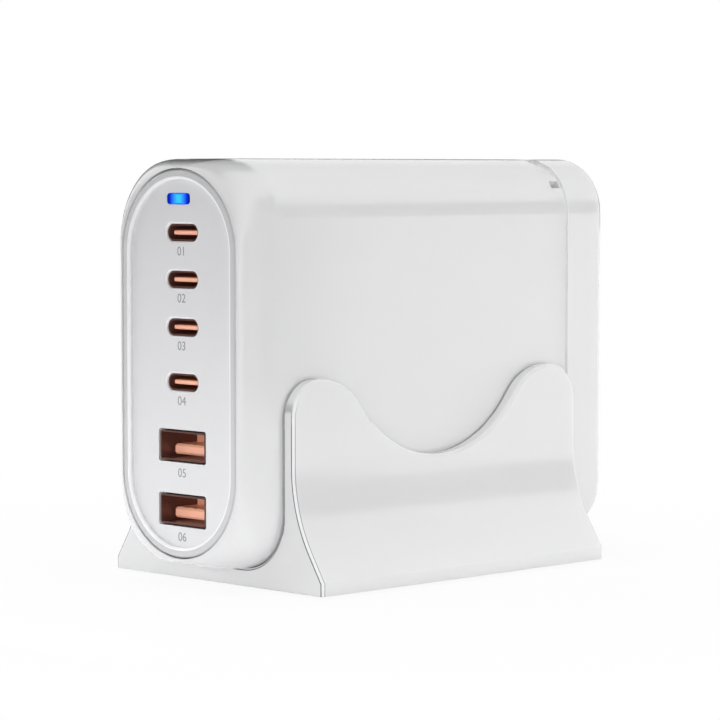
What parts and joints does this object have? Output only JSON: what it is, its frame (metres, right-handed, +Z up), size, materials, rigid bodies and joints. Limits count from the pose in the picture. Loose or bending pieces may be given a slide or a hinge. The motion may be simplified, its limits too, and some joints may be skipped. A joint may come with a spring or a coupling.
{
  "type": "multi port usb desktop charger",
  "caption": "White upright desktop charger with a rounded body, USB-C and USB-A sockets on a pill-shaped front and a blue indicator, resting in a flared stand with waved cheeks.",
  "frame": {"origin": "on the desk, under the middle of the overall box", "axes": "+X to the right as seen from the front, +Y from the sockets towards the back, +Z up"},
  "size_m": [0.0604, 0.1034, 0.0833],
  "materials": {
    "inlet_black": "moulded",
    "pin_steel": "plated",
    "package_black": "moulded",
    "can_black": "sleeved",
    "ferrite_grey": "ground",
    "winding_copper": "enamelled wire",
    "pad_rubber": "matt",
    "cover_white": "satin white",
    "cooling_aluminium": "mill finish",
    "film_clear": "film",
    "lens_blue": "clear blue",
    "board_green": "solder mask",
    "shell_white": "glossy white",
    "wire_brown": "extruded",
    "can_metal": "bare can",
    "screw_steel": "plated",
    "rear_white": "glossy white",
    "stand_white": "glossy white",
    "led_white": "glossy",
    "pad_silicone": "soft",
    "bobbin_black": "moulded",
    "tape_yellow": "tape",
    "contact_brass": "plated",
    "tongue_orange": "moulded",
    "socket_steel": "stamped sheet",
    "disc_blue": "coated",
    "film_capacitor_yellow": "moulded",
    "print_grey": "printed"
  },
  "bodies": {
    "root": {"ac_inlet": "inlet_black", "ac_inlet_pins": "pin_steel", "board_header": "package_black", "bridge_rectifier": "package_black", "bulk_capacitor_1": "can_black", "bulk_capacitor_2": "can_black", "choke_core": "ferrite_grey", "choke_winding": "winding_copper", "foot_pad_front_left": "pad_rubber", "foot_pad_front_right": "pad_rubber", "foot_pad_rear_left": "pad_rubber", "foot_pad_rear_right": "pad_rubber", "front_cover": "cover_white", "fuse": "package_black", "heat_spreader": "cooling_aluminium", "insulating_film": "film_clear", "light_pipe": "lens_blue", "main_board": "board_green", "main_shell": "shell_white", "mains_wires": "wire_brown", "output_capacitor_1": "can_metal", "output_capacitor_2": "can_metal", "output_inductor_1": "ferrite_grey", "output_inductor_2": "ferrite_grey", "output_inductor_3": "ferrite_grey", "port_board": "board_green", "port_board_screws": "screw_steel", "primary_heatsink": "cooling_aluminium", "primary_switch": "package_black", "rear_cover": "rear_white", "secondary_heatsink": "cooling_aluminium", "stand": "stand_white", "status_led": "led_white", "sync_rectifier": "package_black", "thermal_pad": "pad_silicone", "transformer_bobbin": "bobbin_black", "transformer_core": "ferrite_grey", "transformer_winding": "tape_yellow", "usb_a_1_contacts": "contact_brass", "usb_a_1_insulator": "tongue_orange", "usb_a_1_shell": "socket_steel", "usb_a_2_contacts": "contact_brass", "usb_a_2_insulator": "tongue_orange", "usb_a_2_shell": "socket_steel", "usb_c_1_contacts": "contact_brass", "usb_c_1_insulator": "tongue_orange", "usb_c_1_shell": "socket_steel", "usb_c_2_contacts": "contact_brass", "usb_c_2_insulator": "tongue_orange", "usb_c_2_shell": "socket_steel", "usb_c_3_contacts": "contact_brass", "usb_c_3_insulator": "tongue_orange", "usb_c_3_shell": "socket_steel", "usb_c_4_contacts": "contact_brass", "usb_c_4_insulator": "tongue_orange", "usb_c_4_shell": "socket_steel", "varistor": "disc_blue", "x_capacitor": "film_capacitor_yellow", "y_capacitor": "disc_blue"}
  },
  "joints": []
}
